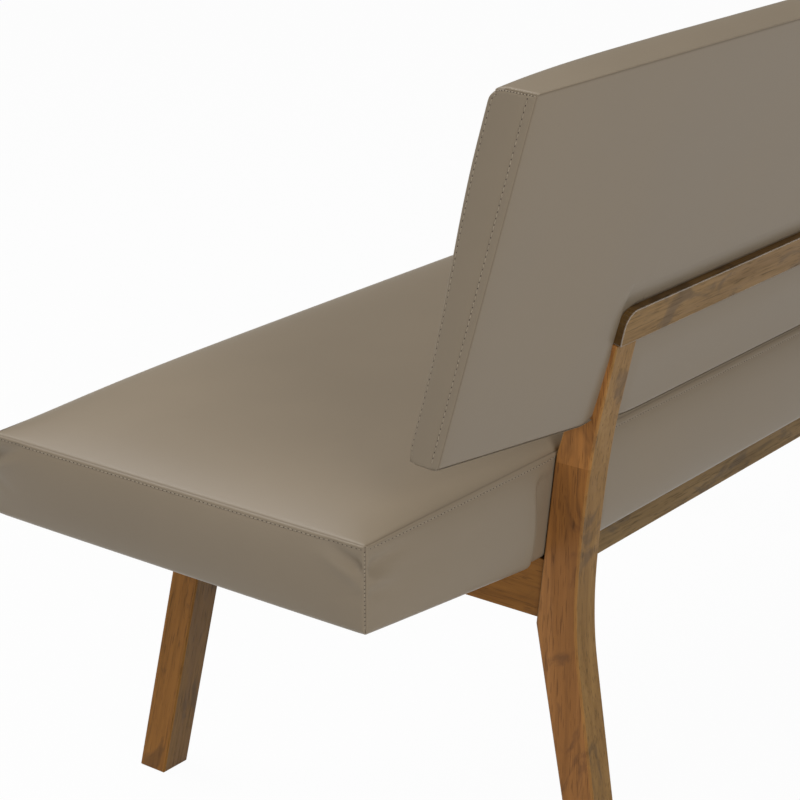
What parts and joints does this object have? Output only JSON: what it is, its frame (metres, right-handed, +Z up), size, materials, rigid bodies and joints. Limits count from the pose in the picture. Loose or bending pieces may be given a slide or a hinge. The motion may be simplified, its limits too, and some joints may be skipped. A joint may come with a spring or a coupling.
{
  "type": "upholstered bench",
  "caption": "Dining bench with a reclined padded back: box seat cushion and back pad in leatherette on a splayed-leg wooden frame.",
  "frame": {"origin": "on the floor under the middle of the bench's box", "axes": "+X along the bench to the sitter's left, -Y is where the sitter faces, +Y towards the back, +Z up"},
  "size_m": [1.512, 0.6412, 0.8394],
  "materials": {
    "walnut": "walnut-brown stain under a satin lacquer, grain along each piece",
    "beech": "bare beech, hidden inside the frame",
    "pine": "bare sawn pine, hidden inside the seat",
    "plywood": "bare plywood, hidden under the padding",
    "leatherette": "taupe leatherette over foam, fine smooth grain, low sheen, tonal stitching",
    "dust_cloth": "black non-woven cloth under the seat",
    "steel": "zinc-plated steel"
  },
  "bodies": {
    "root": {"rear_leg_left": "walnut", "rear_leg_right": "walnut", "front_leg_left": "walnut", "front_leg_right": "walnut", "side_rail_left": "walnut", "side_rail_right": "walnut", "front_apron": "walnut", "rear_apron": "walnut", "centre_rail": "walnut", "top_rail": "walnut", "rear_dowel_low_left": "beech", "rear_dowel_low_right": "beech", "rear_dowel_high_left": "beech", "rear_dowel_high_right": "beech", "front_dowel_low_left": "beech", "front_dowel_low_right": "beech", "front_dowel_high_left": "beech", "front_dowel_high_right": "beech", "front_apron_dowel_low_left": "beech", "front_apron_dowel_low_right": "beech", "front_apron_dowel_high_left": "beech", "front_apron_dowel_high_right": "beech", "rear_apron_dowel_low_left": "beech", "rear_apron_dowel_low_right": "beech", "rear_apron_dowel_high_left": "beech", "rear_apron_dowel_high_right": "beech", "top_rail_dowel_outer_left": "beech", "top_rail_dowel_outer_right": "beech", "top_rail_dowel_inner_left": "beech", "top_rail_dowel_inner_right": "beech", "corner_block_front_left": "beech", "corner_block_front_right": "beech", "corner_block_rear_left": "beech", "corner_block_rear_right": "beech", "seat_bearer_rear": "pine", "seat_bearer_front": "pine", "seat_cross_piece_left_end": "pine", "seat_cross_piece_left": "pine", "seat_cross_piece_middle": "pine", "seat_cross_piece_right": "pine", "seat_cross_piece_right_end": "pine", "seat_deck": "plywood", "back_board": "plywood", "seat_dust_cover": "dust_cloth", "seat_cushion": "leatherette", "back_cushion": "leatherette", "back_rear_panel": "leatherette", "seat_screw_front_left": "steel", "seat_screw_front_right": "steel", "seat_screw_rear_left": "steel", "seat_screw_rear_right": "steel", "back_pin_low_left": "steel", "back_pin_low_right": "steel", "back_pin_high_left": "steel", "back_pin_high_right": "steel"}
  },
  "joints": []
}
